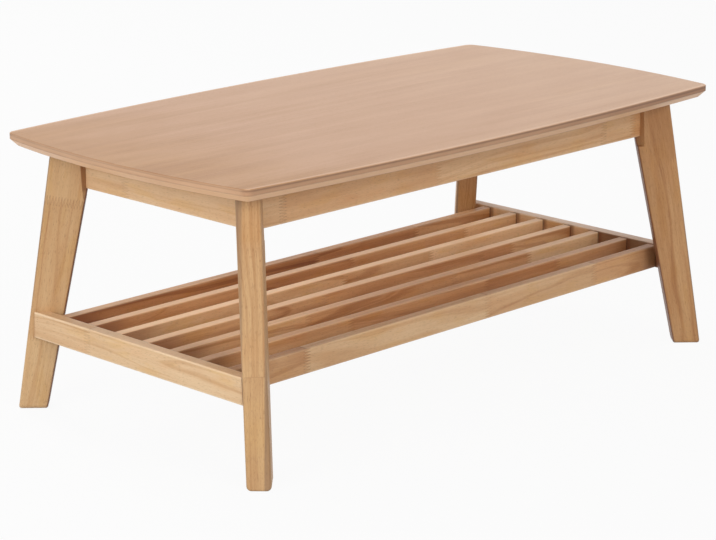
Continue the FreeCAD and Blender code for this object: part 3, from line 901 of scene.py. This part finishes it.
def edge_stain():
    """Stained and lacquered edge of the core board, with a dark line, a band and a paler bevel."""
    edge = new_finish("top_edge_stain")
    x, y, z = edge.axes(edge.point())

    def pattern(scale, detail=2.0, roughness=0.5):
        """Noise with one scale on the level and another upright."""
        level, upright = scale
        place = edge.vector(x * level, y * level, z * upright)
        return edge.noise(place, detail, roughness)

    brushed = pattern(BRUSHING, 3.0, 0.6)
    cloud = pattern(EDGE_CLOUDS)
    grit = pattern(GRIT, 1.0)
    tone = 0.5 + (brushed - 0.5) * BRUSHING_SHARE + (cloud - 0.5) * EDGE_CLOUD_SHARE
    tone = tone + (grit - 0.5) * GRIT_SHARE
    band = edge.colours(tone, BAND_STOPS)
    bevel = edge.colours(tone, BEVEL_STOPS)
    # The long edges took more stain than the ends, and painted shade darkens them towards the right,
    # also on the bevel below the band
    long_edge = edge.ramp(abs(y), LONG_EDGE_FROM, LONG_EDGE_FULL)
    stain_and_shade = long_edge * (HEAVY_SHARE + RIGHT_SHADE_GAIN * edge.ramp(x, *RIGHT_SHADE_PLACES))
    band = edge.blend(stain_and_shade, band, HEAVY_STAIN_AND_SHADE)
    shade = long_edge * edge.ramp(x, *SHADE_GAINS) * edge.ramp(z, *SHADE_HEIGHTS)
    bevel = edge.blend(shade * SHADE_SHARE, bevel, band)
    colour = edge.blend(edge.ramp(z, *BAND_STARTS), bevel, band)
    height = z - BOARD_TOP + LINE_SINKS * edge.ramp(x, *LINE_SINKS_OVER)
    line = edge.ramp(height, *LINE_FOOT) * (1 - edge.ramp(height, *LINE_HEAD))
    line = line * (LINE_DARK + long_edge * LINE_DARK_ON_LONG_EDGE)
    colour = edge.blend(line, colour, EDGE_LINE)
    crease = edge.near(z, CREASE_HEIGHT, CREASE_FULL, CREASE_REACH)
    colour = edge.blend(crease * CREASE_DARK, colour, CREASE_LINE)
    roughness = EDGE_ROUGHNESS + (brushed - 0.5) * BRUSHING_ROUGHNESS
    relief = brushed * BRUSHING_RELIEF + grit * GRIT_RELIEF
    return edge.surface(colour, roughness, edge.bump(relief, EDGE_GRAIN_DEPTH), IOR=LACQUER_IOR)


def finish_top():
    paint("top_veneer", veneer("top_face_veneer"))
    paint("underside_veneer", veneer("top_backing_veneer"))
    paint("top_board", edge_stain())


# Steel


ZINC_STOPS = [(0.2, rgb(168, 170, 172)), (0.6, rgb(196, 197, 198)), (1.0, rgb(214, 212, 204))]
ZINC_CLOUDS = 160.0
ZINC_GRAIN = 1400.0
ZINC_ROUGHNESS = 0.30
ZINC_CLOUD_ROUGHNESS = 0.25
ZINC_GRAIN_ROUGHNESS = 0.10
ZINC_GRAIN_DEPTH = 0.00003
STEEL_PIECES = (
    "hanger_bolts",
    "bolt_washers",
    "bolt_nuts",
    "corner_block_screws",
    "top_screws",
)


def zinc_steel():
    zinc = new_finish("zinc_plated_steel")
    point = zinc.point()
    cloud = zinc.noise(zinc.scaled(point, ZINC_CLOUDS), 3.0)
    fine = zinc.noise(zinc.scaled(point, ZINC_GRAIN))
    colour = zinc.colours(cloud, ZINC_STOPS)
    roughness = ZINC_ROUGHNESS + (cloud - 0.5) * ZINC_CLOUD_ROUGHNESS
    roughness = roughness + (fine - 0.5) * ZINC_GRAIN_ROUGHNESS
    return zinc.surface(colour, roughness, zinc.bump(fine, ZINC_GRAIN_DEPTH), Metallic=1.0)


def finish_steel():
    steel = zinc_steel()
    for node in STEEL_PIECES:
        paint(node, steel)


# Room


def seen_directly(finish):
    """1 for what the camera or a mirror sees, and 0 for light that falls on the object."""
    seen = finish.node("LightPath", {}, {}, "Is Camera Ray")
    mirrored = finish.node("LightPath", {}, {}, "Is Glossy Ray")
    return seen.maths("MAXIMUM", mirrored)


def floor():
    bpy.ops.mesh.primitive_plane_add(size=FLOOR_SIZE, location=(0, 0, 0))
    plane = bpy.context.object
    plane.name = "studio_floor"
    pale = new_finish("studio_floor_paper")
    paper = pale.node("BsdfDiffuse", {}, {"Color": FLOOR_PAPER})
    glow = pale.node("Emission", {}, {"Color": WHITE, "Strength": 1.0})
    share = seen_directly(pale) * FLOOR_WHITE
    shader = pale.node("MixShader", {}, {0: share, 1: paper, 2: glow})
    pale.node("OutputMaterial", {}, {"Surface": shader})
    plane.data.materials.append(pale.owner)


def backdrop():
    room = Finish(bpy.data.worlds.new("studio_world"))
    glow = room.node("Background", {}, {"Color": WHITE, "Strength": ROOM_GLOW})
    white = room.node("Background", {}, {"Color": WHITE, "Strength": 1.0})
    shader = room.node("MixShader", {}, {0: seen_directly(room), 1: glow, 2: white})
    room.node("OutputWorld", {}, {"Surface": shader})
    bpy.context.scene.world = room.owner


def lamps():
    for name, (place, width, power) in LAMPS.items():
        bpy.ops.object.light_add(type="AREA", location=place)
        light = bpy.context.object
        light.name = name
        light.data.shape = "DISK"
        light.data.size = width
        light.data.energy = power
        # Seen from the far side, the lacquer would mirror the lamp as a white glare
        light.visible_glossy = False
        light.rotation_euler = (LAMP_AIM - Vector(place)).to_track_quat("-Z", "Y").to_euler()


def camera():
    data = bpy.data.cameras.new("photo_camera")
    viewer = bpy.data.objects.new("photo_camera", data)
    bpy.context.scene.collection.objects.link(viewer)
    data.sensor_fit = "HORIZONTAL"
    data.sensor_width = SENSOR_WIDTH
    data.lens = FOCAL_PIXELS / FRAME_WIDTH * SENSOR_WIDTH
    data.clip_end = CAMERA_REACH
    turn = (CAMERA_AIM - CAMERA_PLACE).to_track_quat("-Z", "Y").to_matrix().to_4x4()
    roll = Matrix.Rotation(CAMERA_ROLL, 4, "Z")
    viewer.matrix_world = Matrix.Translation(CAMERA_PLACE) @ turn @ roll
    bpy.context.scene.camera = viewer


bpy.context.scene.view_settings.view_transform = "Standard"
camera()
floor()
backdrop()
lamps()
finish_legs()
finish_aprons()
finish_rails()
finish_slats()
finish_hidden_wood()
finish_top()
finish_steel()
